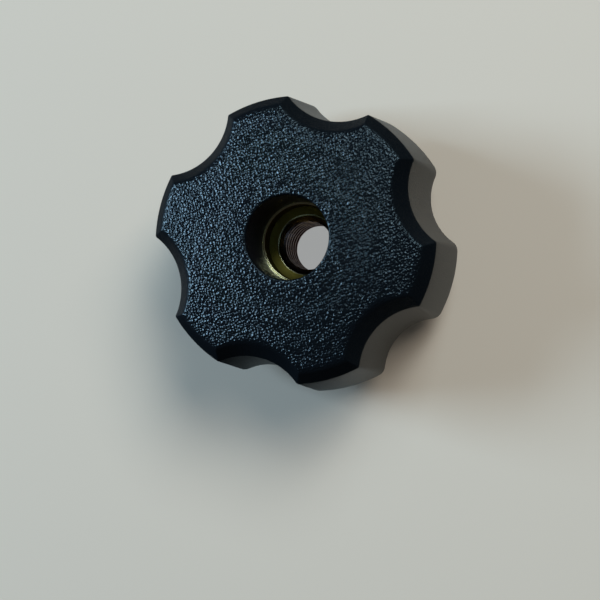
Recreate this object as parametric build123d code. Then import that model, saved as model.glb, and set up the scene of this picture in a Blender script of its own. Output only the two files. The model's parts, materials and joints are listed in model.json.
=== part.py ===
from build123d import *

import math
import os

# Six-lobe hand knob: one black moulding, cored out from behind, with a threaded metal insert
# moulded into its boss. All sizes are millimetres. The axis is Z, and z = 0 is the end of the
# boss, which is what the knob clamps with and rests on. The crown faces +Z.

# Star outline, where the side wall meets the bevel
LOBES = 6
LOBE_RADIUS = 18.8
SCALLOP_CENTRE = 24.6  # from the axis to the centre of a scallop's arc
SCALLOP_RADIUS = 8.6

# Side wall
BOSS_STANDOFF = 4.6  # from the boss end to the back edge of the wall
WALL_HEIGHT = 13.0
WALL_DRAFT = 1.2  # growth of the outline from the front edge to the back edge
CORNER_ROUND = 0.35  # between lobe and scallop at the front edge, growing with the draft
BACK_EDGE_BREAK = 0.4

# Bevel and crown
BEVEL_RUN = 1.5  # inwards, to the crease on a lobe
BEVEL_RISE = 2.0
CROWN_RISE = 1.35  # from the crease on a lobe to the crown's top on the axis

# Cored-out back
SHELL_WALL = 2.4
CROWN_WALL = 3.2  # from the crease on a lobe down to the pocket floor
RIB_THICKNESS = 1.8
RIB_RECESS = 1.0  # from the back edge of the wall to the ribs
CORE_DRAFT_ANGLE = 3.0

# Boss
BOSS_RADIUS = 9.8  # at its free end
BOSS_EDGE_BREAK = 0.5

# Crown hole
CROWN_HOLE_RADIUS = 5.45
MOUTH_CHAMFER = 0.3

# Threaded insert
INSERT_RADIUS = 7.0
INSERT_LENGTH = 12.3
THREAD_MAJOR_RADIUS = 4.0
THREAD_MINOR_RADIUS = 3.32
THREAD_DEPTH = 8.9  # from the boss end to the first turn under the counterbore
COUNTERBORE_RADIUS = 5.2
SHOULDER_RISE = 0.7  # height of the cone between the thread and the counterbore
COUNTERBORE_CHAMFER = 0.2
KNURL_TEETH = 24
KNURL_DEPTH = 0.4
GRIP_GROOVE_RADIUS = 6.1
GRIP_GROOVE_WIDTH = 2.0

# Heights and slopes that follow
BACK_Z = BOSS_STANDOFF
FRONT_Z = BACK_Z + WALL_HEIGHT
CREASE_Z = FRONT_Z + BEVEL_RISE
APEX_Z = CREASE_Z + CROWN_RISE
POCKET_Z = CREASE_Z - CROWN_WALL
CORE_SLOPE = math.tan(math.radians(CORE_DRAFT_ANGLE))
CREASE_RADIUS = LOBE_RADIUS - BEVEL_RUN
CROWN_BALL_RADIUS = (CREASE_RADIUS**2 + CROWN_RISE**2) / (2 * CROWN_RISE)
FIRST_SCALLOP_ANGLE = 90.0 - 180.0 / LOBES  # a lobe points along +Y
WIDEST = 2 * (LOBE_RADIUS + WALL_DRAFT)


def drafted_star(grow, height, slope):
    """The sharp-cornered star as a block on z = 0, each face leaning in by slope per millimetre.

    The lobes are one cone and the scallops are cones cut out of it. grow moves every arc of the
    outline at z = 0 outwards.
    """
    lean = slope * height
    lobes = Solid.make_cone(LOBE_RADIUS + grow, LOBE_RADIUS + grow - lean, height)
    scallop = Solid.make_cone(SCALLOP_RADIUS - grow, SCALLOP_RADIUS - grow + lean, height)
    return lobes - PolarLocations(SCALLOP_CENTRE, LOBES, FIRST_SCALLOP_ANGLE) * scallop


def corner_centre():
    """The upright line that the corner above the scallop on +X is rounded about.

    It lies inside the lobe's arc and outside the scallop's, by the rounding's radius from both.
    """
    reach = LOBE_RADIUS - CORNER_ROUND
    gap = SCALLOP_RADIUS + CORNER_ROUND
    swing = math.acos((reach**2 + SCALLOP_CENTRE**2 - gap**2) / (2 * reach * SCALLOP_CENTRE))
    return Vector(reach * math.cos(swing), reach * math.sin(swing))


def rounded_star(grow, height, slope):
    """The drafted star with its corners rounded by cones that get slimmer as the star does."""
    radius = CORNER_ROUND + grow
    centre = corner_centre()
    to_lobe = centre + centre.normalized() * 2 * radius
    to_scallop = centre + (Vector(SCALLOP_CENTRE, 0) - centre).normalized() * 2 * radius
    tip = extrude(make_face(Polyline(centre, to_lobe, to_scallop, close=True)), height, dir=(0, 0, 1))
    rounding = tip & Pos(centre) * Solid.make_cone(radius, radius - slope * height, height)
    scallops = PolarLocations(0, LOBES, FIRST_SCALLOP_ANGLE)
    star = drafted_star(grow, height, slope) - scallops * tip - scallops * mirror(tip, Plane.XZ)
    return star + scallops * rounding + scallops * mirror(rounding, Plane.XZ)


def side_wall():
    """The grip's drafted wall, run on past the crown, with its back edge broken."""
    wall = rounded_star(WALL_DRAFT, APEX_Z - BACK_Z, WALL_DRAFT / WALL_HEIGHT)
    return Pos(0, 0, BACK_Z) * chamfer(wall.edges().group_by(Axis.Z)[0], BACK_EDGE_BREAK)


def bevel_envelope():
    """What the bevel leaves: all that is below the front edge, and a star that narrows above it."""
    slope = BEVEL_RUN / BEVEL_RISE
    lead = BEVEL_RUN / 2  # the sloping faces start this far outside the wall
    start_z = FRONT_Z - lead / slope
    below = extrude(Circle(WIDEST), start_z)
    return below + Pos(0, 0, start_z) * drafted_star(lead, APEX_Z - start_z, slope)


def crown_envelope():
    """Everything below the crown, which is a shallow ball cap through the creases on the lobes."""
    ball = Pos(0, 0, APEX_Z - CROWN_BALL_RADIUS) * Rot(90, 0, 0) * Sphere(CROWN_BALL_RADIUS)
    return ball & extrude(Circle(WIDEST), APEX_Z)


def crown_height(radius):
    """Height of the crown at a distance from the axis."""
    return APEX_Z - CROWN_BALL_RADIUS + math.sqrt(CROWN_BALL_RADIUS**2 - radius**2)


def boss_radius(height):
    """The drafted boss gets wider towards the crown."""
    return BOSS_RADIUS + CORE_SLOPE * height


def core_ring(height):
    """The mould core between boss and shell, drafted, from the back edge up to a height."""
    ring = drafted_star(WALL_DRAFT - SHELL_WALL, height, CORE_SLOPE)
    return ring - Solid.make_cone(boss_radius(BACK_Z), boss_radius(BACK_Z + height), height)


def core_pockets():
    """The pockets that the mould core leaves under the lobes, and the step down to the ribs."""
    depth = POCKET_Z - BACK_Z
    half = RIB_THICKNESS / 2
    wide = half + CORE_SLOPE * depth
    section = Polyline((-half, 0), (half, 0), (wide, depth), (-wide, depth), close=True)
    rib = extrude(Plane.YZ * make_face(section), WIDEST)
    pockets = core_ring(depth) - PolarLocations(0, LOBES, FIRST_SCALLOP_ANGLE) * rib
    return Pos(0, 0, BACK_Z) * (pockets + core_ring(RIB_RECESS))


def boss():
    """The boss below the ribs, with its free edge broken."""
    height = BACK_Z + RIB_RECESS
    cone = Solid.make_cone(BOSS_RADIUS, boss_radius(height), height)
    return chamfer(cone.edges().group_by(Axis.Z)[0], BOSS_EDGE_BREAK)


def insert_blank():
    """The insert's outside: a straight-knurled bar with one turned groove for the plastic to grip."""
    tooth_space = Polyline(
        (INSERT_RADIUS - KNURL_DEPTH, 0),
        (INSERT_RADIUS + KNURL_DEPTH, 2 * KNURL_DEPTH),
        (INSERT_RADIUS + KNURL_DEPTH, -2 * KNURL_DEPTH),
        close=True,
    )
    spaces = PolarLocations(0, KNURL_TEETH) * make_face(tooth_space)
    bar = extrude(Circle(INSERT_RADIUS) - spaces, INSERT_LENGTH)
    groove = Circle(INSERT_RADIUS + KNURL_DEPTH) - Circle(GRIP_GROOVE_RADIUS)
    groove_z = (INSERT_LENGTH - GRIP_GROOVE_WIDTH) / 2
    return bar - Pos(0, 0, groove_z) * extrude(groove, GRIP_GROOVE_WIDTH)


def insert_bore():
    """Half section of what is bored out of the insert, spun about the axis."""
    lead_in = THREAD_MAJOR_RADIUS - THREAD_MINOR_RADIUS
    section = Polyline(
        (0, 0),
        (THREAD_MAJOR_RADIUS, 0),
        (THREAD_MINOR_RADIUS, lead_in),
        (THREAD_MINOR_RADIUS, THREAD_DEPTH - lead_in),
        (THREAD_MAJOR_RADIUS, THREAD_DEPTH),
        (COUNTERBORE_RADIUS, THREAD_DEPTH + SHOULDER_RISE),
        (COUNTERBORE_RADIUS, INSERT_LENGTH - COUNTERBORE_CHAMFER),
        (COUNTERBORE_RADIUS + COUNTERBORE_CHAMFER, INSERT_LENGTH),
        (0, INSERT_LENGTH),
        close=True,
    )
    return revolve(Plane.XZ * make_face(section), Axis.Z)


def threaded_insert():
    """The metal insert, its thread bored to the minor diameter."""
    return insert_blank() - insert_bore()


def crown_hole():
    """The hole above the insert and the cone that breaks the edge of its mouth."""
    hole = Pos(0, 0, INSERT_LENGTH) * extrude(Circle(CROWN_HOLE_RADIUS), APEX_Z - INSERT_LENGTH)
    mouth_z = crown_height(CROWN_HOLE_RADIUS + MOUTH_CHAMFER)
    edge_break = Solid.make_cone(
        CROWN_HOLE_RADIUS,
        CROWN_HOLE_RADIUS + 2 * MOUTH_CHAMFER,
        2 * MOUTH_CHAMFER,
    )
    return hole + Pos(0, 0, mouth_z - MOUTH_CHAMFER) * edge_break


def knob_body():
    """The black moulding: grip, boss, core pockets, crown hole and the seat of the insert."""
    grip = side_wall() & bevel_envelope() & crown_envelope()
    return grip - core_pockets() + boss() - insert_blank() - crown_hole()


os.makedirs("parts", exist_ok=True)
export_step(knob_body(), "parts/knob_body.step")
export_step(threaded_insert(), "parts/threaded_insert.step")
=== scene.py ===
import json
import math
from collections import namedtuple

import bpy
from bpy.props import FloatProperty, FloatVectorProperty, IntProperty, PointerProperty
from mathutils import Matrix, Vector


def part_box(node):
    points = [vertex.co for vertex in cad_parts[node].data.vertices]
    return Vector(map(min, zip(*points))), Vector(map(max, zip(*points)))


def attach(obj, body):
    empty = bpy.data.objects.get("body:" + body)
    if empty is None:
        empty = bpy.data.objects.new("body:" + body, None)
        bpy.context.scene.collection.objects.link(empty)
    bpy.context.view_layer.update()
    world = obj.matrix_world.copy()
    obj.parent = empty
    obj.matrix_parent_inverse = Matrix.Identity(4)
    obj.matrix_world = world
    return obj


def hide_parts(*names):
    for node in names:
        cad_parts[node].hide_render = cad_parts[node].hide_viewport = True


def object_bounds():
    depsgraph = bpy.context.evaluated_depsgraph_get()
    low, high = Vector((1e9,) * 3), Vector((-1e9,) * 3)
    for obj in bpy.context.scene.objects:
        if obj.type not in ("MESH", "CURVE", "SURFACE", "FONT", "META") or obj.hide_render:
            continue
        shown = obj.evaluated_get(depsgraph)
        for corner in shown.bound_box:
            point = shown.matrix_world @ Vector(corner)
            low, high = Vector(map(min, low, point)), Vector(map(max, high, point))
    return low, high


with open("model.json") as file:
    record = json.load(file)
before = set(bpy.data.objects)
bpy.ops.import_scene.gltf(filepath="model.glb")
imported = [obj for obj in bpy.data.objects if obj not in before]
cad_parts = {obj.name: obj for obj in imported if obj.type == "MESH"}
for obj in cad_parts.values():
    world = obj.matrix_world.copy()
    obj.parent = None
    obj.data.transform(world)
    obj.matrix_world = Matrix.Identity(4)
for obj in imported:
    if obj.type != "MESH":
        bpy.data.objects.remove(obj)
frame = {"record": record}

bl_info = {
    "name": "Star Knob",
    "version": (1, 0, 0),
    "blender": (4, 5, 0),
    "location": "View3D > Sidebar > Star Knob",
    "description": "Builds the visual model of a six-lobe hand knob with a threaded metal insert",
    "category": "Add Mesh",
}

MM = 0.001
MERGE_WITHIN = 0.0005 * MM
CAD_LOW, CAD_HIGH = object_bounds()
INSERT_LOW, INSERT_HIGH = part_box("threaded_insert")
MOUNTS = {mount["name"]: mount for mount in frame["record"]["mounts"]}
THREAD_BORE = MOUNTS["thread"]["dims"]["r_mm"]
HOLE_RADIUS = MOUNTS["crown_hole"]["dims"]["r_mm"] * MM


def srgb(hex_colour):
    """A hex colour as linear light, with alpha."""
    channels = [int(hex_colour[i : i + 2], 16) / 255 for i in (1, 3, 5)]
    linear = [c / 12.92 if c <= 0.04045 else ((c + 0.055) / 1.055) ** 2.4 for c in channels]
    return (*linear, 1.0)


def length(name, description, millimetres):
    """A length property with its default in millimetres."""
    return FloatProperty(
        name=name, description=description, default=millimetres * MM, unit="LENGTH", precision=5
    )


def colour(name, description, hex_colour):
    """A colour property with its default in hex."""
    return FloatVectorProperty(
        name=name, description=description, default=srgb(hex_colour), subtype="COLOR", size=4
    )


class KnobGripSizes(bpy.types.PropertyGroup):
    """Sizes of the moulded grip"""

    lobes: IntProperty(name="Lobes", description="Number of lobes", default=6, min=3)
    lobe_radius: length("Lobe Radius", "Reach of a lobe at the front edge of the wall", 18.8)
    scallop_distance: length("Scallop Distance", "From the axis to a scallop's centre", 24.6)
    scallop_radius: length("Scallop Radius", "Radius of a scallop at the front edge", 8.6)
    corner_round: length("Corner Round", "Rounding between lobe and scallop, at the front", 0.35)
    standoff: length("Boss Standoff", "From the boss end to the back edge of the wall", 4.6)
    wall_height: length("Wall Height", "From the back edge to the front edge", 13.0)
    wall_draft: length("Wall Draft", "Growth of the outline from front edge to back edge", 1.2)
    bevel_run: length("Bevel Run", "From the front edge inwards to the crease on a lobe", 1.5)
    bevel_rise: length("Bevel Rise", "From the front edge up to the crease on a lobe", 2.0)
    crown_rise: length("Crown Rise", "From the crease on a lobe to the crown's top", 1.35)
    shell_wall: length("Shell Wall", "Thickness of the side wall", 2.4)
    crown_wall: length("Crown Wall", "From the crease on a lobe down to the pocket floor", 3.2)
    rib_thickness: length("Rib Thickness", "Thickness of a rib at its free edge", 1.8)
    rib_recess: length("Rib Recess", "From the back edge of the wall to the ribs", 1.0)
    core_draft: FloatProperty(
        name="Core Draft",
        description="Draft angle of the boss, the ribs and the pockets",
        default=math.radians(3.0),
        subtype="ANGLE",
    )
    boss_radius: length("Boss Radius", "Radius of the boss at its free end", 9.8)
    boss_round: length("Boss Round", "Rounding of the boss's free edge", 0.5)
    back_round: length("Back Round", "Rounding of the wall's back edge", 0.4)
    front_round: length("Front Round", "Half width of the rounding between wall and bevel", 0.12)
    crease_round: length("Crease Round", "Half width of the rounding between bevel and crown", 0.55)
    mouth_round: length("Mouth Round", "Rounding of the crown hole's mouth", 0.3)


class KnobInsertSizes(bpy.types.PropertyGroup):
    """Sizes of the threaded insert"""

    pitch: length("Thread Pitch", "From one turn of the thread to the next", 1.25)
    major_radius: length("Thread Major Radius", "Radius in the bottom of the grooves", 4.0)
    minor_radius: length("Thread Minor Radius", "Radius on top of the ridges", THREAD_BORE)
    thread_depth: length("Thread Depth", "From the boss end up to the shoulder", 8.9)
    counterbore_radius: length("Counterbore Radius", "Radius of the bore above the thread", 5.2)
    shoulder_rise: length("Shoulder Rise", "Height of the cone above the thread", 0.7)
    chamfer: length("Chamfer", "Bevel at the insert's top edge", 0.2)
    knurl_depth: length("Knurl Depth", "Depth of the grooves round the insert", 0.4)
    knurl_teeth: IntProperty(
        name="Knurl Teeth",
        description="Number of straight grooves round the insert",
        default=24,
        min=3,
    )


class KnobFinish(bpy.types.PropertyGroup):
    """Colours and grain of the knob's materials"""

    plastic_colour: colour("Plastic Colour", "Body colour of the moulded plastic", "#060a0f")
    metal_colour: colour("Metal Colour", "Colour of the turned counterbore", "#8c7e3a")
    lip_highlight_colour: colour("Lip Highlight Colour", "Paler colour of the counterbore's bright edge", "#d8cea0")
    # painted highlight: this paler colour stands in for light on the counterbore's edges
    thread_colour: colour("Thread Colour", "Browner colour of the thread's ridges", "#9c7f78")
    # painted shade: a darker colour down in the thread's grooves
    groove_shade_colour: colour("Groove Shade Colour", "Painted shade down in the thread's grooves", "#1a120c")
    floor_colour: colour("Floor Colour", "Colour of the plain floor", "#cbc2b3")
    # painted light: the floor under the bore glows with this colour
    exit_glow_colour: colour("Exit Glow Colour", "Colour of the floor seen through the bore", "#a8aaaa")
    grain_width: length("Grain Width", "Width of one wrinkle of the crown's leather grain", 0.34)
    grain_depth: length("Grain Depth", "Height of the wrinkles of the leather grain", 0.086)
    spark_width: length("Spark Width", "Width of one pit of the matt texture on the sides", 0.22)
    spark_depth: length("Spark Depth", "Depth of the pits of the matt texture", 0.06)


# A vertex's place on the star: the turn of its scallop, the side of the scallop's middle that it
# lies on (1 or -1), the arc that it is part of, and its share of the way along that arc.
Spot = namedtuple("Spot", "turn side part share")


class GripForm:
    """The surfaces of the moulding as formulas of its driving sizes."""

    ARC_STEPS = {"scallop": 18, "corner": 5, "lobe": 12}
    TIGHTEST_CORNER = 0.2 * MM
    HALVINGS = 24

    def __init__(self, sizes):
        self.sizes = sizes
        self.front_z = sizes.standoff + sizes.wall_height
        self.crease_z = self.front_z + sizes.bevel_rise
        self.apex_z = self.crease_z + sizes.crown_rise
        self.pocket_z = self.crease_z - sizes.crown_wall
        self.wall_slope = sizes.wall_draft / sizes.wall_height
        self.bevel_slope = sizes.bevel_rise / sizes.bevel_run
        self.core_slope = math.tan(sizes.core_draft)
        crease_radius = sizes.lobe_radius - sizes.bevel_run
        self.ball = (crease_radius**2 + sizes.crown_rise**2) / (2 * sizes.crown_rise)
        self.spots = self.spread_spots()
        self.crease_grows = [self.crease_grow(spot) for spot in self.spots]
        self.crease = [self.bevel_point(*pair) for pair in zip(self.spots, self.crease_grows)]

    def scallop_turn(self, number):
        """Angle of a scallop's middle. A lobe points along +Y, between the first two scallops."""
        return math.pi / 2 - math.pi / self.sizes.lobes * (1 - 2 * number)

    def spread_spots(self):
        """The vertices' places once round the star, from scallop to scallop."""
        half = []
        for part, steps in self.ARC_STEPS.items():
            half += [(part, step / steps) for step in range(steps)]
        spots = []
        for number in range(self.sizes.lobes):
            turn = self.scallop_turn(number)
            spots += [Spot(turn, -1, *place) for place in [("lobe", 1.0)] + half[:0:-1]]
            spots += [Spot(turn, 1, *place) for place in half]
        return spots

    def star_point(self, spot, grow):
        """A spot of the star when all its arcs have moved outwards by grow.

        The corner's centre lies inside the lobe's arc and outside the scallop's, by the corner's
        radius from both, which gives the angles where the three arcs meet.
        """
        sizes = self.sizes
        corner = max(sizes.corner_round + grow, self.TIGHTEST_CORNER)
        reach = sizes.lobe_radius + grow - corner
        gap = sizes.scallop_radius - grow + corner
        span = sizes.scallop_distance
        swing = math.acos((reach**2 + span**2 - gap**2) / (2 * reach * span))
        centre = Vector((reach * math.cos(swing), reach * math.sin(swing)))
        lean = math.atan2(centre.y, span - centre.x)
        if spot.part == "scallop":
            angle = math.pi - spot.share * lean
            place = Vector((span, 0)) + spoke(sizes.scallop_radius - grow, angle)
        elif spot.part == "corner":
            place = centre + spoke(corner, spot.share * (swing + lean) - lean)
        else:
            angle = swing + spot.share * (math.pi / sizes.lobes - swing)
            place = spoke(sizes.lobe_radius + grow, angle)
        place.y *= spot.side
        return turned(place, spot.turn)

    def star_ring(self, grow, height):
        """A ring of the star, all of it grown by the same amount and at the same height."""
        return [self.star_point(spot, grow).to_3d() + Vector((0, 0, height)) for spot in self.spots]

    def crown_height(self, radius):
        """Height of the shallow ball cap of the crown."""
        return self.apex_z - self.ball + math.sqrt(self.ball**2 - radius**2)

    def crown_point(self, direction, radius):
        """A point of the crown in the direction of another point."""
        flat = Vector((direction.x, direction.y)).normalized() * radius
        return Vector((flat.x, flat.y, self.crown_height(radius)))

    def boss_radius(self, height):
        """The drafted boss gets wider towards the crown."""
        return self.sizes.boss_radius + self.core_slope * height

    def core_grow(self, height):
        """How far the shell's inside lies from the star at the front edge."""
        drafted = self.core_slope * (height - self.sizes.standoff)
        return self.sizes.wall_draft - self.sizes.shell_wall - drafted

    def bevel_point(self, spot, grow):
        """A point of the bevel, which rises as the star shrinks."""
        flat = self.star_point(spot, grow)
        return Vector((flat.x, flat.y, self.front_z - grow * self.bevel_slope))

    def crease_grow(self, spot):
        """Where the bevel meets the crown, found by halving."""
        inner, outer = -2 * self.sizes.bevel_run, 0.0
        for _ in range(self.HALVINGS):
            middle = (inner + outer) / 2
            point = self.bevel_point(spot, middle)
            if point.z < self.crown_height(point.xy.length):
                outer = middle
            else:
                inner = middle
        return (inner + outer) / 2


def spoke(radius, angle):
    """A point at a distance and an angle."""
    return Vector((radius * math.cos(angle), radius * math.sin(angle)))


def turned(place, angle):
    """A flat point turned about the origin."""
    along, across = spoke(1.0, angle)
    return Vector((place.x * along - place.y * across, place.x * across + place.y * along))


def blend_rings(start, corner, end, steps):
    """Rings of a soft edge: each vertex runs on a curve from start to end, drawn to the corner."""
    rings = []
    for step in range(1, steps):
        t = step / steps
        first, middle, last = (1 - t) ** 2, 2 * t * (1 - t), t**2
        points = zip(start, corner, end)
        rings.append([a * first + b * middle + c * last for a, b, c in points])
    return rings


def quarter_steps(steps):
    """Sine and one minus cosine at even steps through a quarter turn, for a rounded edge."""
    bends = [math.pi / 2 * step / steps for step in range(steps + 1)]
    return [(math.sin(bend), 1 - math.cos(bend)) for bend in bends]


def circle_ring(directions, radius, height):
    """A round ring at a height, whose vertices lie in the directions of another ring's."""
    ring = []
    for point in directions:
        flat = point.xy.normalized() * radius
        ring.append(Vector((flat.x, flat.y, height)))
    return ring


def deselect_everything():
    """The frame's nodes come in selected, and an operator acts on all that is selected."""
    bpy.ops.object.select_all(action="DESELECT")


def ring_stack(name, rings):
    """A tube through rings of points: a circle extruded ring by ring, then fitted to the points."""
    count = len(rings[0])
    deselect_everything()
    bpy.ops.mesh.primitive_circle_add(vertices=count, radius=1.0)
    piece = bpy.context.object
    piece.name = name
    bpy.ops.object.mode_set(mode="EDIT")
    for _ in rings[1:]:
        bpy.ops.mesh.extrude_region_move(TRANSFORM_OT_translate={"value": (0, 0, 1.0)})
    bpy.ops.object.mode_set(mode="OBJECT")
    start = piece.data.vertices[0].co
    first = math.atan2(start.y, start.x)
    for vertex in piece.data.vertices:
        angle = math.atan2(vertex.co.y, vertex.co.x) - first
        place = round(angle / (2 * math.pi) * count) % count
        vertex.co = rings[round(vertex.co.z)][place]
    return piece


def close_surface():
    """Merges rings that meet, drops faces without area, fills open ends and turns all normals
    outwards, on the active piece."""
    bpy.ops.object.mode_set(mode="EDIT")
    bpy.ops.mesh.select_all(action="SELECT")
    bpy.ops.mesh.remove_doubles(threshold=MERGE_WITHIN)
    bpy.ops.mesh.dissolve_degenerate(threshold=MERGE_WITHIN)
    bpy.ops.mesh.fill_holes(sides=0)
    bpy.ops.mesh.select_all(action="SELECT")
    bpy.ops.mesh.normals_make_consistent(inside=False)
    bpy.ops.object.mode_set(mode="OBJECT")


def knurl_notch(angle, sizes):
    """Depth of the straight knurl's groove at an angle: 90 degree grooves with wide lands."""
    spacing = 2 * math.pi / sizes.knurl_teeth
    away = abs((angle / spacing + 0.5) % 1.0 - 0.5) * spacing * INSERT_HIGH.x
    return max(sizes.knurl_depth - away, 0.0)


class KNOB_OT_moulded_grip(bpy.types.Operator):
    """Build the black moulding: drafted star wall, bevel, crown, hole, boss, ribs and pockets"""

    bl_idname = "knob.moulded_grip"
    bl_label = "Moulded Grip"

    FACET_ANGLE = math.radians(32)
    BACK_SWEEP = math.radians(85)  # short of a quarter turn, because the wall leans in
    EDGE_STEPS = 5  # round the boss's edge and the back edge
    WALL_STEPS = 6
    FRONT_STEPS = 4
    BEVEL_STEPS = 5
    CREASE_STEPS = 6
    CROWN_STEPS = 22
    MOUTH_STEPS = 6
    FLOOR_STEPS = 4
    POCKET_SIDE_STEPS = 8  # along a scallop, and along a lobe up to its middle
    POCKET_CORNER_STEPS = 3
    POCKET_BOSS_STEPS = 16
    POCKET_ROUND = 0.3 * MM
    CORE_CLEARANCE = 0.04 * MM  # keeps the pocket cores' faces off the ribs' end ring
    SEAT_LAP = 0.5 * MM  # how far the moulding reaches into the insert, so that no gap can show
    SEAT_END = 0.05 * MM  # height above the boss end at which that lap starts

    def execute(self, context):
        scene = context.scene
        form = GripForm(scene.knob_grip)
        rings = self.inside_rings(form, scene.knob_insert)
        rings += self.boss_rings(form)
        rings += self.back_rings(form)
        rings += self.front_rings(form)
        rings += self.hole_rings(form)
        rings.append(rings[0])
        grip = ring_stack("moulded_grip", rings)
        close_surface()
        self.cut_pockets(form, grip)
        close_surface()
        bpy.ops.object.shade_smooth_by_angle(angle=self.FACET_ANGLE)
        grip.data.materials.append(moulded_nylon(scene.knob_finish))
        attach(grip, "root")
        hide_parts("knob_body")
        return {"FINISHED"}

    def inside_rings(self, form, insert_sizes):
        """The seat's edge at the boss end, which the plastic has taken from the knurl."""
        ring = []
        for point in form.crease:
            angle = math.atan2(point.y, point.x)
            flat = spoke(INSERT_HIGH.x - knurl_notch(angle, insert_sizes), angle)
            ring.append(flat.to_3d())
        return [ring]

    def boss_rings(self, form):
        """The boss end with its rounded edge, and the drafted boss up to the ribs."""
        edge = form.sizes.boss_round
        centre = form.boss_radius(edge) - edge
        rings = []
        for out, up in quarter_steps(self.EDGE_STEPS):
            rings.append(circle_ring(form.crease, centre + edge * out, edge * up))
        rib_z = form.sizes.standoff + form.sizes.rib_recess
        rings.append(circle_ring(form.crease, form.boss_radius(rib_z), rib_z))
        return rings

    def back_rings(self, form):
        """Across the ribs' edges, down the shell's inside and round the wall's back edge."""
        sizes = form.sizes
        back_z = sizes.standoff
        rib_z = back_z + sizes.rib_recess
        inner_edge = sizes.back_round / 2
        half_way = 0.3 * inner_edge  # where a round edge has its middle
        inner = form.core_grow(back_z)
        outer = sizes.wall_draft - sizes.back_round
        rings = [
            form.star_ring(form.core_grow(rib_z), rib_z),
            form.star_ring(inner, back_z + inner_edge),
            form.star_ring(inner + half_way, back_z + half_way),
            form.star_ring(inner + inner_edge, back_z),
        ]
        for step in range(self.EDGE_STEPS + 1):
            bend = self.BACK_SWEEP * step / self.EDGE_STEPS
            grow = outer + sizes.back_round * math.sin(bend)
            height = back_z + sizes.back_round * (1 - math.cos(bend))
            wall_grow = sizes.wall_draft - (height - back_z) * form.wall_slope
            rings.append(form.star_ring(min(grow, wall_grow), height))
        return rings

    def front_rings(self, form):
        """Up the drafted wall, over the front edge and the bevel, and across the crown."""
        sizes = form.sizes
        foot = sizes.standoff + sizes.back_round
        head = form.front_z - sizes.front_round
        rings = []
        for step in range(1, self.WALL_STEPS + 1):
            height = foot + (head - foot) * step / self.WALL_STEPS
            rings.append(form.star_ring((form.front_z - height) * form.wall_slope, height))
        edge = form.star_ring(0.0, form.front_z)
        run = sizes.bevel_run / math.hypot(sizes.bevel_run, sizes.bevel_rise)
        start = -sizes.front_round * run
        bevel_foot = [form.bevel_point(spot, start) for spot in form.spots]
        rings += blend_rings(rings[-1], edge, bevel_foot, self.FRONT_STEPS) + [bevel_foot]
        for step in range(1, self.BEVEL_STEPS + 1):
            share = step / self.BEVEL_STEPS
            ring = []
            for spot, crease in zip(form.spots, form.crease_grows):
                end = crease + sizes.crease_round * run
                ring.append(form.bevel_point(spot, start + (end - start) * share))
            rings.append(ring)
        inner = []
        for point in form.crease:
            inner.append(form.crown_point(point, point.xy.length - sizes.crease_round))
        rings += blend_rings(rings[-1], form.crease, inner, self.CREASE_STEPS) + [inner]
        mouth = HOLE_RADIUS + sizes.mouth_round
        for step in range(1, self.CROWN_STEPS + 1):
            ring = []
            for point in inner:
                reach = point.xy.length
                radius = reach + (mouth - reach) * step / self.CROWN_STEPS
                ring.append(form.crown_point(point, radius))
            rings.append(ring)
        return rings

    def hole_rings(self, form):
        """Over the rounded mouth, down the crown hole and out across the insert's end."""
        edge = form.sizes.mouth_round
        mouth_z = form.crown_height(HOLE_RADIUS + edge)
        rings = []
        for across, down in quarter_steps(self.MOUTH_STEPS)[1:]:
            radius = HOLE_RADIUS + edge * (1 - across)
            rings.append(circle_ring(form.crease, radius, mouth_z - edge * down))
        top = INSERT_HIGH.z
        seat = INSERT_HIGH.x - self.SEAT_LAP
        levels = [
            (HOLE_RADIUS, (mouth_z + top) / 2),
            (HOLE_RADIUS, top),
            (seat, top),
            (seat, self.SEAT_END),
        ]
        rings += [circle_ring(form.crease, *level) for level in levels]
        return rings

    def cut_pockets(self, form, grip):
        """Cuts the pockets between the ribs, each narrower towards the crown."""
        cutters = []
        for number in range(form.sizes.lobes):
            rings = self.pocket_rings(form, form.scallop_turn(number))
            cutters.append(ring_stack("pocket_core", rings))
            close_surface()
        deselect_everything()
        for cutter in cutters:
            cutter.select_set(True)
        bpy.context.view_layer.objects.active = cutters[0]
        bpy.ops.object.join()
        cores = bpy.context.object
        deselect_everything()
        grip.select_set(True)
        bpy.context.view_layer.objects.active = grip
        bpy.ops.object.modifier_add(type="BOOLEAN")
        cut = grip.modifiers[-1]
        cut.operation = "DIFFERENCE"
        cut.solver = "EXACT"
        cut.object = cores
        bpy.ops.object.modifier_apply(modifier=cut.name)
        bpy.data.objects.remove(cores)
        if grip.modifiers:
            raise RuntimeError("the pockets could not be cut")

    def pocket_rings(self, form, turn):
        """The pocket between the ribs at a turn and at the next, with a soft edge to its floor."""
        rib_z = form.sizes.standoff + form.sizes.rib_recess
        soft = self.POCKET_ROUND
        levels = [(rib_z - soft, 0.0)]
        for up, inwards in quarter_steps(self.FLOOR_STEPS):
            levels.append((form.pocket_z - soft * (1 - up), soft * inwards))
        rings = []
        for height, inset in levels:
            points = self.pocket_outline(form, height, inset + self.CORE_CLEARANCE)
            rings.append([turned(p, turn).to_3d() + Vector((0, 0, height)) for p in points])
        return rings

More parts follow.
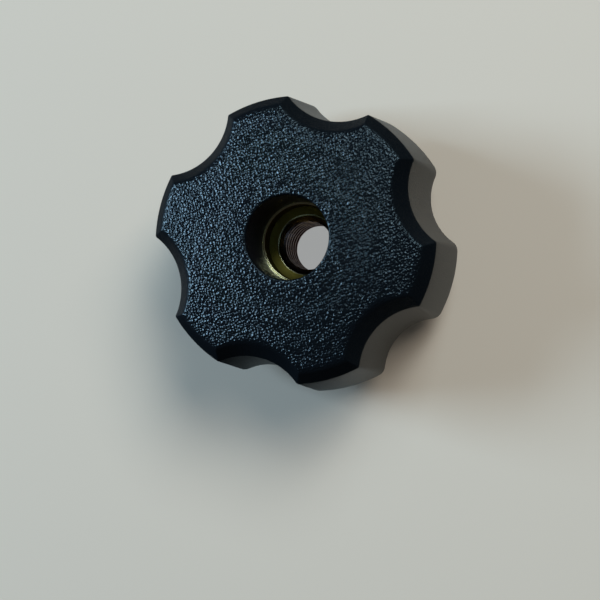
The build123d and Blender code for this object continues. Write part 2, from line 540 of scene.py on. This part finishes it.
    def pocket_outline(self, form, height, inset):
        """Round the pocket beside the rib on +X: shell, next rib, boss, and back along the rib.

        The pocket is its own mirror image about the lobe, so the far half is the near one turned.
        """
        sizes = form.sizes
        sector = math.pi / sizes.lobes
        rib = sizes.rib_thickness / 2 + form.core_slope * (height - sizes.standoff) + inset
        grow = form.core_grow(height) - inset
        scallop = sizes.scallop_radius - grow
        span = sizes.scallop_distance
        reach = sizes.lobe_radius + grow - form.TIGHTEST_CORNER
        gap = scallop + form.TIGHTEST_CORNER
        swing = math.acos((reach**2 + span**2 - gap**2) / (2 * reach * span))
        lean = math.atan2(reach * math.sin(swing), span - reach * math.cos(swing))
        first = math.asin(rib / scallop) / lean
        side, corner = self.POCKET_SIDE_STEPS, self.POCKET_CORNER_STEPS
        places = [("scallop", first + (1 - first) * step / side) for step in range(side)]
        places += [("corner", step / corner) for step in range(corner)]
        places += [("lobe", step / side) for step in range(side + 1)]
        shell = [form.star_point(Spot(0.0, 1, *place), grow) for place in places]
        far = [turned(Vector((p.x, -p.y)), 2 * sector) for p in shell[-2::-1]]
        boss = form.boss_radius(height) + inset
        start, end = 2 * sector - math.asin(rib / boss), math.asin(rib / boss)
        count = self.POCKET_BOSS_STEPS
        near = [spoke(boss, start + (end - start) * step / count) for step in range(count + 1)]
        return shell + far + near


RIDGE_FLAT = 0.25  # of half a pitch from a ridge's middle: flat top of a metric nut thread
GROOVE_FLAT = 0.125  # of half a pitch at the bottom of the groove


def thread_radius(height, angle, sizes):
    """Radius of the cut thread at a height and an angle: flat-topped ridges, 60 degree flanks,
    and at each end a cone for the screw to start in."""
    turn = (height / sizes.pitch - angle / (2 * math.pi)) % 1.0
    from_ridge = abs(turn - 0.5) * 2
    flank = (from_ridge - RIDGE_FLAT) / (1.0 - RIDGE_FLAT - GROOVE_FLAT)
    flank = min(max(flank, 0.0), 1.0)
    radius = sizes.minor_radius + (sizes.major_radius - sizes.minor_radius) * flank
    lead_in = max(sizes.major_radius - height, height - sizes.thread_depth + sizes.major_radius)
    return max(radius, lead_in)


class KNOB_OT_threaded_insert(bpy.types.Operator):
    """Turn the insert, knurl its outside and cut the thread down its bore"""

    bl_idname = "knob.threaded_insert"
    bl_label = "Threaded Insert"

    FACET_ANGLE = math.radians(35)
    VERTICES_PER_TOOTH = 8
    RINGS_PER_TURN = 18
    TOOL_EDGE = 0.05 * MM  # height of the steps that the turning tool leaves on the top edge

    def execute(self, context):
        sizes = context.scene.knob_insert
        rings = self.turned_rings(sizes) + self.thread_rings(sizes)
        rings.append(rings[0])
        insert = ring_stack("insert_with_thread", rings)
        close_surface()
        bpy.ops.object.shade_smooth_by_angle(angle=self.FACET_ANGLE)
        insert.data.materials.append(turned_brass(context.scene.knob_finish, sizes))
        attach(insert, "root")
        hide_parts("threaded_insert")
        return {"FINISHED"}

    def angles(self, sizes):
        """As many vertices to each tooth of the knurl, so that its edges are sharp."""
        count = sizes.knurl_teeth * self.VERTICES_PER_TOOTH
        return [2 * math.pi * step / count for step in range(count)]

    def turned_rings(self, sizes):
        """The knurled outside, the end with its two steps, the counterbore, the shoulder's cone and
        the narrow strip above the thread."""
        top = INSERT_HIGH.z
        outer = INSERT_HIGH.x
        rim = sizes.counterbore_radius + sizes.chamfer
        wall = sizes.counterbore_radius
        shoulder = sizes.thread_depth + sizes.shoulder_rise
        edge = self.TOOL_EDGE
        profile = [
            (rim + edge, top),
            (rim, top - 0.4 * edge),
            (rim - 0.4 * edge, top - 1.4 * edge),
            (rim - 0.6 * edge, top - 2.4 * edge),
            (wall + 1.2 * edge, top - 2.4 * edge),
            (wall + 0.4 * edge, top - 2.8 * edge),
            (wall, top - 3.8 * edge),
            (wall, shoulder + edge),
            (wall - edge, shoulder),
            (sizes.major_radius + 3 * edge, sizes.thread_depth + 1.6 * edge),
            (sizes.major_radius + edge, sizes.thread_depth + edge),
        ]
        rings = []
        for height in (0.0, top):
            ring = [spoke(outer - knurl_notch(angle, sizes), angle) for angle in self.angles(sizes)]
            rings.append([flat.to_3d() + Vector((0, 0, height)) for flat in ring])
        for radius, height in profile:
            ring = [spoke(radius, angle) for angle in self.angles(sizes)]
            rings.append([flat.to_3d() + Vector((0, 0, height)) for flat in ring])
        return rings

    def thread_rings(self, sizes):
        """The thread from its top turn down to the boss end."""
        count = round(sizes.thread_depth / sizes.pitch * self.RINGS_PER_TURN)
        rings = []
        for step in range(count + 1):
            height = sizes.thread_depth * (1 - step / count)
            ring = []
            for angle in self.angles(sizes):
                flat = spoke(thread_radius(height, angle, sizes), angle)
                ring.append(flat.to_3d() + Vector((0, 0, height)))
            rings.append(ring)
        return rings


def add_node(tree, kind, links=None, **settings):
    """Adds a node, sets its properties and its sockets' values, and links its inputs."""
    node = tree.nodes.new(kind)
    for name, value in settings.items():
        setattr(node, name, value)
    for socket, source in (links or {}).items():
        if isinstance(source, bpy.types.NodeSocket):
            tree.links.new(source, node.inputs[socket])
        else:
            node.inputs[socket].default_value = source
    return node


def calculate(tree, operation, *values):
    """The result of a sum on numbers or sockets."""
    return add_node(tree, "ShaderNodeMath", dict(enumerate(values)), operation=operation).outputs[0]


def remap(tree, value, low, high, to_low=0.0, to_high=1.0):
    """A value carried from one range to another, and held inside it."""
    links = {"Value": value, "From Min": low, "From Max": high, "To Min": to_low, "To Max": to_high}
    return add_node(tree, "ShaderNodeMapRange", links).outputs[0]


def mix_colours(tree, share, first, second):
    """The first colour where share is 0, the second where it is 1."""
    links = {"Factor": share, 6: first, 7: second}
    return add_node(tree, "ShaderNodeMix", links, data_type="RGBA").outputs[2]


def from_axis(tree, place):
    """Distance from the knob's axis, in the CAD frame."""
    flat = add_node(
        tree,
        "ShaderNodeVectorMath",
        {0: place.outputs["Object"], 1: (1, 1, 0)},
        operation="MULTIPLY",
    )
    away = add_node(tree, "ShaderNodeVectorMath", {0: flat.outputs[0]}, operation="LENGTH")
    return away.outputs["Value"]


def new_material(name):
    """An empty node material and its tree."""
    material = bpy.data.materials.new(name)
    material.use_nodes = True
    material.node_tree.nodes.clear()
    return material, material.node_tree


def leather_grain(tree, place, finish):
    """Height of fine leather wrinkles: soft cells, pushed out of shape so that some join."""
    push = finish.grain_width / 2
    cell_middle, cell_edge = 0.1, 0.75
    warp = add_node(
        tree,
        "ShaderNodeTexNoise",
        {"Vector": place.outputs["Object"], "Scale": 1.0 / finish.grain_width, "Detail": 1.0},
    )
    centred = add_node(
        tree,
        "ShaderNodeVectorMath",
        {0: warp.outputs["Color"], 1: (0.5, 0.5, 0.5)},
        operation="SUBTRACT",
    )
    warped = add_node(
        tree,
        "ShaderNodeVectorMath",
        {0: centred.outputs[0], 1: (push, push, push), 2: place.outputs["Object"]},
        operation="MULTIPLY_ADD",
    )
    cells = add_node(
        tree,
        "ShaderNodeTexVoronoi",
        {
            "Vector": warped.outputs[0],
            "Scale": 1.0 / finish.grain_width,
            "Smoothness": 0.35,
            "Randomness": 0.75,
        },
        feature="SMOOTH_F1",
    )
    return remap(tree, cells.outputs["Distance"], cell_middle, cell_edge)


def moulded_nylon(finish):
    """Black nylon, injection moulded: the mould's etched leather grain on the crown glitters where
    a wrinkle faces the window, the spark-eroded sides stay dull, and the core pin left the hole
    smooth. The crown is told from the bevel by how level it lies."""
    bevel_level, crown_level = 0.7, 0.98
    matt, glossy, more_in_hole = 0.4, 0.22, 0.08
    pits_where_glossy = 0.55
    material, tree = new_material("moulded_black_nylon")
    place = add_node(tree, "ShaderNodeTexCoord")
    normal = add_node(tree, "ShaderNodeSeparateXYZ", {0: place.outputs["Normal"]})
    crown = remap(tree, normal.outputs["Z"], bevel_level, crown_level)
    edge_of_hole = HOLE_RADIUS + 0.26 * MM
    hole = calculate(tree, "LESS_THAN", from_axis(tree, place), edge_of_hole)
    shiny = calculate(tree, "MAXIMUM", crown, hole)
    roughness = remap(tree, shiny, 0.0, 1.0, matt, glossy)
    roughness = calculate(tree, "MULTIPLY_ADD", hole, more_in_hole, roughness)
    spark = add_node(
        tree,
        "ShaderNodeTexNoise",
        {"Vector": place.outputs["Object"], "Scale": 1.0 / finish.spark_width, "Detail": 3.0},
    )
    wrinkles = add_node(
        tree,
        "ShaderNodeBump",
        {
            "Strength": crown,
            "Distance": finish.grain_depth,
            "Height": leather_grain(tree, place, finish),
        },
    )
    pits = add_node(
        tree,
        "ShaderNodeBump",
        {
            "Strength": remap(tree, shiny, 0.0, 1.0, 1.0, pits_where_glossy),
            "Distance": finish.spark_depth,
            "Height": spark.outputs["Fac"],
            "Normal": wrinkles.outputs[0],
        },
    )
    shader = add_node(
        tree,
        "ShaderNodeBsdfPrincipled",
        {
            "Base Color": finish.plastic_colour,
            "Roughness": roughness,
            "Specular IOR Level": 0.42,
            "Specular Tint": (0.74, 0.93, 1.0, 1.0),
            "IOR": 1.53,
            "Normal": pits.outputs[0],
        },
    )
    add_node(tree, "ShaderNodeOutputMaterial", {"Surface": shader.outputs[0]})
    return material


def turned_brass(finish, sizes):
    """Brass turned on a lathe: olive and satin outside the thread, with the tool's fine rings,
    polished and painted with a pale highlight on its edges, and painted dark brown shade down
    among the thread's turns."""
    polished_ridge, satin, bright_edge = 0.25, 0.5, 0.24
    material, tree = new_material("turned_brass")
    place = add_node(tree, "ShaderNodeTexCoord")
    split = add_node(tree, "ShaderNodeSeparateXYZ", {0: place.outputs["Object"]})
    height = split.outputs["Z"]
    radius = from_axis(tree, place)
    depth, major, top = sizes.thread_depth, sizes.major_radius, INSERT_HIGH.z
    above = remap(tree, height, depth - 0.05 * MM, depth + 0.05 * MM)
    outside = remap(tree, radius, major + 0.02 * MM, major + 0.04 * MM)
    outside_thread = calculate(tree, "MAXIMUM", above, outside)
    # painted shade: the thread darkens from its ridges down into its grooves
    groove = remap(tree, radius, sizes.minor_radius + 0.1 * MM, major)
    thread_with_groove_shade = mix_colours(tree, groove, finish.thread_colour, finish.groove_shade_colour)
    # painted highlight on the narrow strip above the thread, as on the lip
    strip = remap(tree, height, depth + 0.11 * MM, depth + 0.08 * MM)
    strip = calculate(tree, "MULTIPLY", strip, above)
    # the lip's edge is polished smoother and painted with a paler highlight colour
    lip_polish_and_highlight = remap(tree, height, top - 0.22 * MM, top - 0.18 * MM)
    lip_polish_and_highlight = calculate(tree, "MAXIMUM", lip_polish_and_highlight, strip)
    roughness = remap(tree, outside_thread, 0.0, 1.0, polished_ridge, satin)
    roughness = calculate(tree, "MULTIPLY_ADD", lip_polish_and_highlight, bright_edge - satin, roughness)
    turned_with_lip_highlight = mix_colours(tree, lip_polish_and_highlight, finish.metal_colour, finish.lip_highlight_colour)
    feed = 0.1 * MM  # of the tool in one turn
    ring_depth = 0.006 * MM
    links = {0: place.outputs["Object"], 1: (0.05, 0.05, 1.0)}
    stretched = add_node(tree, "ShaderNodeVectorMath", links, operation="MULTIPLY")
    links = {"Vector": stretched.outputs[0], "Scale": 1 / feed}
    tool_marks = add_node(tree, "ShaderNodeTexNoise", links)
    links = {"Strength": 0.6, "Distance": ring_depth, "Height": tool_marks.outputs["Fac"]}
    rings = add_node(tree, "ShaderNodeBump", links)
    shader = add_node(
        tree,
        "ShaderNodeBsdfPrincipled",
        {
            "Base Color": mix_colours(tree, outside_thread, thread_with_groove_shade, turned_with_lip_highlight),
            "Metallic": 1.0,
            "Roughness": roughness,
            "Normal": rings.outputs[0],
        },
    )
    add_node(tree, "ShaderNodeOutputMaterial", {"Surface": shader.outputs[0]})
    return material


# painted shade: the floor's colour in mirrors and in light bounced onto the knob, away from it
MIRROR_SHADE_COLOUR = "#202224"
MIRROR_SHADE_FROM, MIRROR_SHADE_TO = 25 * MM, 44 * MM  # distance from the axis
# painted shadow: in mirrors the floor darkens on the side where the knob leans down
LEAN_SHADOW_FROM, LEAN_SHADOW_TO = 19 * MM, 26 * MM  # distance towards LEAN_SHADOW_TOWARDS
LEAN_SHADOW_TOWARDS = (-0.64, -0.77, 0.0)
# painted light: within this radius the floor under the bore glows
EXIT_REACH = 6 * MM  # the floor within this radius shows through the bore
NEAREST_TURNS = 8.8 * MM, 9.4 * MM  # from the exit up to the thread's lower turns
# painted light in mirrors: the floor glows a little beyond this distance, and near the knob not
MIRROR_GLOW_RAMP = 17 * MM, 30 * MM  # distance from the axis at which the knob stops shading the floor

# How much of the floor's colour is shown as written, and not as it is lit: to the camera it
# keeps the floor evenly pale; in mirrors and under the bore it is painted glow
SHOWN_TO_CAMERA = 0.04
SHOWN_IN_MIRRORS = 0.05
EXIT_SHOWN_TO_CAMERA = 0.85
EXIT_SHOWN_IN_TURNS = 0.5


def floor_material(finish):
    """Plain matt paper, pale wherever the camera sees it. Mirrored or lighting the knob, it is
    painted dark away from the knob, as if black card walled the set in, and painted with shadow
    nearer on the side where the photographed knob leans down. Under the bore it glows as painted
    light, as pale as a place that daylight reaches, to the camera and in the thread's nearest
    turns, because that knob stands off the surface."""
    material, tree = new_material("plain_paper")
    place = add_node(tree, "ShaderNodeTexCoord")
    ray = add_node(tree, "ShaderNodeLightPath")
    seen, mirrored = ray.outputs["Is Camera Ray"], ray.outputs["Is Glossy Ray"]
    away = from_axis(tree, place)
    # painted shadow on the side where the knob leans down, seen in mirrors
    links = {0: place.outputs["Object"], 1: LEAN_SHADOW_TOWARDS}
    sideways = add_node(tree, "ShaderNodeVectorMath", links, operation="DOT_PRODUCT")
    lean_shadow = remap(tree, sideways.outputs["Value"], LEAN_SHADOW_FROM, LEAN_SHADOW_TO)
    # painted shade: mirrored or bounced, the floor goes dark away from the knob and on the lean
    # side
    mirror_shade = calculate(tree, "MAXIMUM", lean_shadow, remap(tree, away, MIRROR_SHADE_FROM, MIRROR_SHADE_TO))
    mirror_shade = calculate(tree, "MULTIPLY", mirror_shade, calculate(tree, "SUBTRACT", 1.0, seen))
    # the paper's colour, darkened by that painted shade and shadow for rays other than the camera's
    paper = mix_colours(tree, mirror_shade, finish.floor_colour, srgb(MIRROR_SHADE_COLOUR))
    # painted light: under the bore the floor glows, to the camera and in the thread's nearest turns
    in_exit = calculate(tree, "LESS_THAN", away, EXIT_REACH)
    # painted glow in mirrors, fading in clear of the knob, so painted shade stays near it
    clear = remap(tree, away, *MIRROR_GLOW_RAMP, 0.0, SHOWN_IN_MIRRORS)
    share = calculate(tree, "MULTIPLY", mirrored, clear)
    share = calculate(tree, "MULTIPLY_ADD", seen, SHOWN_TO_CAMERA, share)
    # painted reflection of that glow, only in the thread's nearest turns
    near = remap(tree, ray.outputs["Ray Length"], *NEAREST_TURNS, EXIT_SHOWN_IN_TURNS, 0.0)
    near = calculate(tree, "MULTIPLY", mirrored, near)
    exit_glow_share = calculate(tree, "MULTIPLY_ADD", seen, EXIT_SHOWN_TO_CAMERA, near)
    share = calculate(tree, "MAXIMUM", share, calculate(tree, "MULTIPLY", exit_glow_share, in_exit))
    diffuse = add_node(tree, "ShaderNodeBsdfDiffuse", {"Color": paper})
    glow_colour = mix_colours(tree, in_exit, paper, finish.exit_glow_colour)
    glow = add_node(tree, "ShaderNodeEmission", {"Color": glow_colour, "Strength": 1.0})
    links = {0: share, 1: diffuse.outputs[0], 2: glow.outputs[0]}
    shader = add_node(tree, "ShaderNodeMixShader", links)
    add_node(tree, "ShaderNodeOutputMaterial", {"Surface": shader.outputs[0]})
    return material


def softbox(name, place, size, power, tint):
    """A square softbox at a place, aimed at the knob: its width in metres and power in watts."""
    data = bpy.data.lights.new(name, "AREA")
    data.shape = "SQUARE"
    data.size = size
    data.energy = power
    data.color = tint
    lamp = bpy.data.objects.new(name, data)
    bpy.context.scene.collection.objects.link(lamp)
    lamp.location = place
    middle = (CAD_LOW + CAD_HIGH) / 2
    lamp.rotation_euler = (middle - Vector(place)).to_track_quat("-Z", "Y").to_euler()
    return lamp


class KNOB_OT_stage(bpy.types.Operator):
    """Lay the floor, hang the softboxes and set the camera at the photograph's viewing angle"""

    bl_idname = "knob.stage"
    bl_label = "Stage"

    FLOOR_WIDTH = 3.0
    SKY_COLOUR = "#dfe3e6"
    SKY_STRENGTH = 0.04
    LENS = 80.64
    EYE = (35.85 * MM, -25.40 * MM, 186.91 * MM)
    EYE_TURN = (2.468, 13.341, -14.789)  # degrees

    def execute(self, context):
        scene = context.scene
        scene.view_settings.view_transform = "Standard"
        deselect_everything()
        bpy.ops.mesh.primitive_plane_add(size=self.FLOOR_WIDTH, location=(0, 0, CAD_LOW.z))
        floor = context.object
        floor.name = "floor"
        floor.data.materials.append(floor_material(scene.knob_finish))
        softbox("window_softbox", (-0.56, 0.26, 0.41), 0.28, 5.1, (0.545, 0.77, 1.0))
        softbox("side_softbox", (0.33, 0.36, 0.52), 0.28, 1.9, (0.72, 0.89, 1.0))
        overhead = softbox("overhead_softbox", (0.35, 0.2, 0.5), 0.3, 2.2, (1.0, 0.93, 0.87))
        overhead.visible_glossy = False  # it lights the floor, and leaves no glare on the crown
        self.sky(scene)
        self.camera(scene)
        return {"FINISHED"}

    def sky(self, scene):
        """A faint even light from all round."""
        world = bpy.data.worlds.new("studio")
        world.use_nodes = True
        background = world.node_tree.nodes["Background"]
        background.inputs["Color"].default_value = srgb(self.SKY_COLOUR)
        background.inputs["Strength"].default_value = self.SKY_STRENGTH
        scene.world = world

    def camera(self, scene):
        """The eye's place and turn were worked out from the knob's corners in the photograph."""
        data = bpy.data.cameras.new("camera")
        data.sensor_width = 36.0
        data.lens = self.LENS
        camera = bpy.data.objects.new("camera", data)
        scene.collection.objects.link(camera)
        camera.location = self.EYE
        camera.rotation_euler = [math.radians(turn) for turn in self.EYE_TURN]
        scene.camera = camera


class KNOB_PT_panel(bpy.types.Panel):
    """The knob's pieces, sizes and finish"""

    bl_label = "Star Knob"
    bl_idname = "KNOB_PT_panel"
    bl_space_type = "VIEW_3D"
    bl_region_type = "UI"
    bl_category = "Star Knob"

    def draw(self, context):
        column = self.layout.column()
        for operator in PIECES:
            column.operator(operator.bl_idname)
        scene = context.scene
        for group in (scene.knob_grip, scene.knob_insert, scene.knob_finish):
            for name in group.__annotations__:
                column.prop(group, name)


PIECES = (KNOB_OT_moulded_grip, KNOB_OT_threaded_insert, KNOB_OT_stage)
CLASSES = (KnobGripSizes, KnobInsertSizes, KnobFinish, *PIECES, KNOB_PT_panel)


def register():
    for each in CLASSES:
        bpy.utils.register_class(each)
    bpy.types.Scene.knob_grip = PointerProperty(type=KnobGripSizes)
    bpy.types.Scene.knob_insert = PointerProperty(type=KnobInsertSizes)
    bpy.types.Scene.knob_finish = PointerProperty(type=KnobFinish)


def unregister():
    del bpy.types.Scene.knob_finish
    del bpy.types.Scene.knob_insert
    del bpy.types.Scene.knob_grip
    for each in reversed(CLASSES):
        bpy.utils.unregister_class(each)


def main():
    register()
    bpy.ops.knob.moulded_grip()
    bpy.ops.knob.threaded_insert()
    bpy.ops.knob.stage()


if __name__ == "__main__":
    main()
